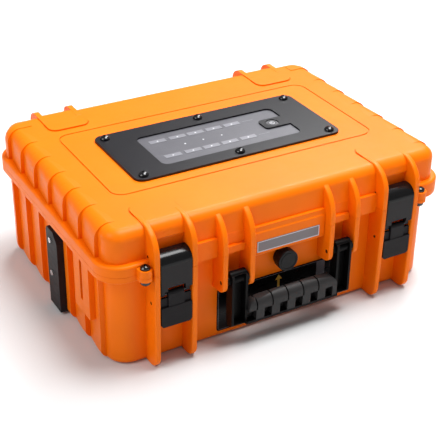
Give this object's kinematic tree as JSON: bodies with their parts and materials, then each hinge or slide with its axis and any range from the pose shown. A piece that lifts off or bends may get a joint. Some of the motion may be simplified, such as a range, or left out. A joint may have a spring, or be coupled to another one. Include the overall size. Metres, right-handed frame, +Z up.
{
  "type": "power station",
  "caption": "Portable power station in a hinged, latched equipment case with a carry handle, top display plate with button, and an inner deck of outlets.",
  "frame": {"origin": "bottom centre of the whole object, under the flat base floor it stands on", "axes": "+Z up, -Y the side with the latches and the handle, +X to the right of someone facing that side"},
  "size_m": [0.47, 0.372, 0.1885],
  "materials": {
    "orange_shell": "satin",
    "seal_rubber": "matte",
    "steel_pin": "satin",
    "black_steel": "gloss",
    "latch_black": "gloss",
    "lever_black": "matte",
    "handle_black": "matte",
    "valve_black": "matte",
    "sticker_black": "satin",
    "label_grey": "satin",
    "cover_black": "matte",
    "screw_steel": "satin",
    "plate_grey": "satin",
    "window_grey": "satin",
    "bar_grey": "satin",
    "button_grey": "satin",
    "board_green": "satin",
    "deck_black": "matte",
    "socket_plastic": "satin",
    "switch_red": "gloss",
    "cell_blue": "satin",
    "copper_bar": "polished",
    "tray_grey": "matte",
    "inverter_case": "satin"
  },
  "bodies": {
    "base": {"base_shell": "orange_shell", "hinge_pins": "steel_pin", "catch_pins": "steel_pin", "handle_pins": "steel_pin", "pressure_valve": "valve_black", "lower_plate": "sticker_black", "side_cover": "cover_black", "side_cover_screws": "screw_steel", "lug_nuts": "black_steel", "deck_panel": "deck_black", "deck_screws": "screw_steel", "ac_sockets": "socket_plastic", "dc_socket": "socket_plastic", "usb_module": "socket_plastic", "switch_frame": "socket_plastic", "rocker_pin": "steel_pin", "charge_inlet": "socket_plastic", "battery_cells": "cell_blue", "cell_busbars": "copper_bar", "battery_tray": "tray_grey", "inverter": "inverter_case", "heat_sink": "inverter_case", "control_board": "board_green"},
    "lid": {"lid_shell": "orange_shell", "lid_gasket": "seal_rubber", "latch_hinge_pins": "steel_pin", "front_label": "label_grey", "lug_bolts": "black_steel", "display_plate": "plate_grey", "plate_screws": "black_steel", "display_membrane": "window_grey", "light_bars": "bar_grey", "display_board": "board_green"},
    "latch_link_l": {"latch_link_left": "latch_black", "lever_pin_left": "steel_pin"},
    "latch_link_r": {"latch_link_right": "latch_black", "lever_pin_right": "steel_pin"},
    "latch_lever_l": {"latch_lever_left": "lever_black"},
    "latch_lever_r": {"latch_lever_right": "lever_black"},
    "handle": {"handle_frame": "handle_black", "handle_grip": "handle_black"},
    "button": {"power_button": "button_grey"},
    "rocker": {"switch_rocker": "switch_red"}
  },
  "joints": [
    {"name": "lid_hinge", "type": "hinge", "parent": "base", "child": "lid", "pos_m": [0, 0.1805, 0.129], "axis": [-1, 0, 0], "range_deg": [0, 95]},
    {"name": "latch_left_swing", "type": "hinge", "parent": "lid", "child": "latch_link_l", "pos_m": [-0.15375, -0.162, 0.146], "axis": [-1, 0, 0], "range_deg": [0, 80]},
    {"name": "latch_right_swing", "type": "hinge", "parent": "lid", "child": "latch_link_r", "pos_m": [0.15375, -0.162, 0.146], "axis": [-1, 0, 0], "range_deg": [0, 80]},
    {"name": "latch_left_lever", "type": "hinge", "parent": "latch_link_l", "child": "latch_lever_l", "pos_m": [-0.15375, -0.1744, 0.0998], "axis": [-1, 0, 0], "range_deg": [0, 90]},
    {"name": "latch_right_lever", "type": "hinge", "parent": "latch_link_r", "child": "latch_lever_r", "pos_m": [0.15375, -0.1744, 0.0998], "axis": [-1, 0, 0], "range_deg": [0, 90]},
    {"name": "handle_pivot", "type": "hinge", "parent": "base", "child": "handle", "pos_m": [0, -0.174, 0.0914], "axis": [-1, 0, 0], "range_deg": [0, 95]},
    {"name": "power_press", "type": "slide", "parent": "lid", "child": "button", "axis": [0, 0, -1], "range_m": [0, 0.001], "stiffness_N_per_m": 400, "springref_m": -0.001},
    {"name": "main_switch", "type": "hinge", "parent": "base", "child": "rocker", "pos_m": [0.154, -0.06, 0.1126], "axis": [0, 1, 0], "range_deg": [0, 18]}
  ]
}
